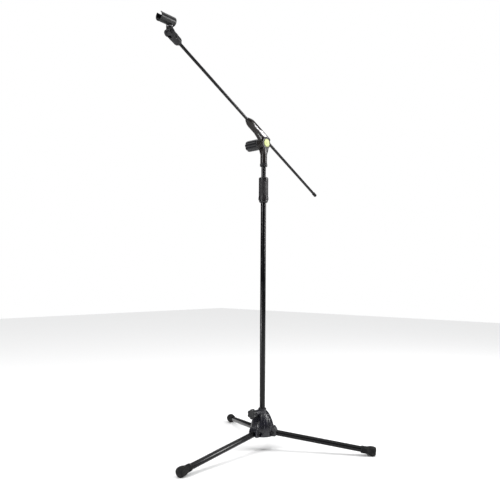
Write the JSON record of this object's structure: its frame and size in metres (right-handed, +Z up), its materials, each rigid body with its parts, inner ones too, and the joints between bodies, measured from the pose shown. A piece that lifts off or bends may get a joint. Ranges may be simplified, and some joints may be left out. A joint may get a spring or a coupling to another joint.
{
  "type": "boom microphone stand",
  "caption": "Folding tripod microphone stand with a height-adjustable pole, a tilting and sliding boom, and a swivelling open clip for a hand-held microphone.",
  "frame": {"origin": "on the floor, on the pole's axis, at the middle of the tripod", "axes": "+Z up along the pole, +X level along the boom towards the microphone clip and above the front leg"},
  "size_m": [0.7302, 0.6108, 1.2318],
  "materials": {
    "hub_plastic": "satin moulded plastic",
    "bush_plastic": "plain moulded",
    "steel": "zinc plated",
    "black_steel": "blackened steel",
    "brass": "machined",
    "knob_plastic": "satin moulded plastic",
    "tube_black": "gloss black powder coat",
    "rubber": "matt moulded rubber",
    "fitting_plastic": "satin moulded plastic",
    "grip": "soft touch",
    "joint_plastic": "satin moulded plastic",
    "zinc": "satin die cast",
    "badge": "plain coloured cap",
    "clip_plastic": "satin moulded nylon"
  },
  "bodies": {
    "pole": {"outer_tube": "tube_black", "pole_end_plug": "bush_plastic", "clutch_body": "fitting_plastic", "clutch_collet": "bush_plastic"},
    "hub": {"hub_body": "hub_plastic", "hub_bush_upper": "bush_plastic", "hub_bush_lower": "bush_plastic", "hub_brake_pad": "bush_plastic", "leg_pivot_bolts": "black_steel", "leg_pivot_nuts": "black_steel", "leg_pivot_washers": "steel"},
    "hub_knob": {"hub_knob": "knob_plastic", "hub_screw": "steel"},
    "leg_front": {"leg_front_end": "fitting_plastic", "leg_front_tube": "tube_black", "leg_front_foot": "rubber"},
    "leg_left": {"leg_left_end": "fitting_plastic", "leg_left_tube": "tube_black", "leg_left_foot": "rubber"},
    "leg_right": {"leg_right_end": "fitting_plastic", "leg_right_tube": "tube_black", "leg_right_foot": "rubber"},
    "clutch_grip": {"clutch_grip": "grip", "clutch_cap": "fitting_plastic"},
    "inner_tube": {"inner_tube": "tube_black", "inner_tube_guide": "bush_plastic", "tube_stud": "steel", "lock_ring": "fitting_plastic"},
    "joint_head": {"joint_stem": "joint_plastic", "friction_washers": "bush_plastic", "tilt_bolt": "steel", "joint_badge": "badge", "knob_washer": "steel"},
    "tilt_knob": {"tilt_knob": "knob_plastic", "tilt_knob_insert": "brass"},
    "boom_clamp": {"boom_clamp": "joint_plastic", "clamp_side_plate": "zinc"},
    "boom": {"boom_rod": "tube_black", "boom_tail_cap": "rubber", "boom_adapter": "black_steel"},
    "clip_base": {"clip_base": "clip_plastic", "clip_base_insert": "brass", "clip_pivot_screw": "black_steel", "clip_pivot_nut": "black_steel"},
    "clip": {"clip_swivel": "clip_plastic", "clip_washer": "steel", "clip_rivet": "steel", "clip_shell": "clip_plastic"}
  },
  "joints": [
    {"name": "hub_slide", "type": "slide", "parent": "pole", "child": "hub", "axis": [0, 0, 1], "range_m": [0, 0.265]},
    {"name": "hub_knob_turn", "type": "hinge", "parent": "hub", "child": "hub_knob", "pos_m": [0.04, 0, 0.114], "axis": [1, 0, 0], "range_deg": [0, 540]},
    {"name": "leg_front_fold", "type": "hinge", "parent": "hub", "child": "leg_front", "pos_m": [0.034, 0, 0.05319], "axis": [0, 1, 0], "range_deg": [0, 80]},
    {"name": "leg_left_fold", "type": "hinge", "parent": "hub", "child": "leg_left", "pos_m": [-0.017, 0.02944, 0.05319], "axis": [-0.866, -0.5, 0], "range_deg": [0, 80]},
    {"name": "leg_right_fold", "type": "hinge", "parent": "hub", "child": "leg_right", "pos_m": [-0.017, -0.02944, 0.05319], "axis": [0.866, -0.5, 0], "range_deg": [0, 80]},
    {"name": "clutch_twist", "type": "hinge", "parent": "pole", "child": "clutch_grip", "pos_m": [0, 0, 0.81], "axis": [0, 0, 1], "range_deg": [0, 120]},
    {"name": "height_slide", "type": "slide", "parent": "pole", "child": "inner_tube", "axis": [0, 0, 1], "range_m": [-0.033, 0.55]},
    {"name": "head_swivel", "type": "hinge", "parent": "inner_tube", "child": "joint_head", "pos_m": [0, 0, 0.9], "axis": [0, 0, 1], "continuous": true},
    {"name": "tilt_knob_turn", "type": "hinge", "parent": "joint_head", "child": "tilt_knob", "pos_m": [0, -0.03, 0.9632], "axis": [0, -1, 0], "range_deg": [0, 450]},
    {"name": "boom_tilt", "type": "hinge", "parent": "joint_head", "child": "boom_clamp", "pos_m": [0, 0, 0.9632], "axis": [0, 1, 0], "range_deg": [-57.5, 75]},
    {"name": "boom_slide", "type": "slide", "parent": "boom_clamp", "child": "boom", "axis": [0.887, 0, 0.4617], "range_m": [-0.29, 0.28]},
    {"name": "clip_turn", "type": "hinge", "parent": "boom", "child": "clip_base", "pos_m": [0.39869, 0, 1.18878], "axis": [0.887, 0, 0.4617], "range_deg": [-180, 180]},
    {"name": "clip_tilt", "type": "hinge", "parent": "clip_base", "child": "clip", "pos_m": [0.39869, 0, 1.18878], "axis": [0, 1, 0], "range_deg": [-27.5, 152.5]}
  ],
  "couplings": [
    {"joint": "leg_front_fold", "follows": "hub_slide", "rad_per_m": 5.26},
    {"joint": "leg_left_fold", "follows": "hub_slide", "rad_per_m": 5.26},
    {"joint": "leg_right_fold", "follows": "hub_slide", "rad_per_m": 5.26}
  ]
}
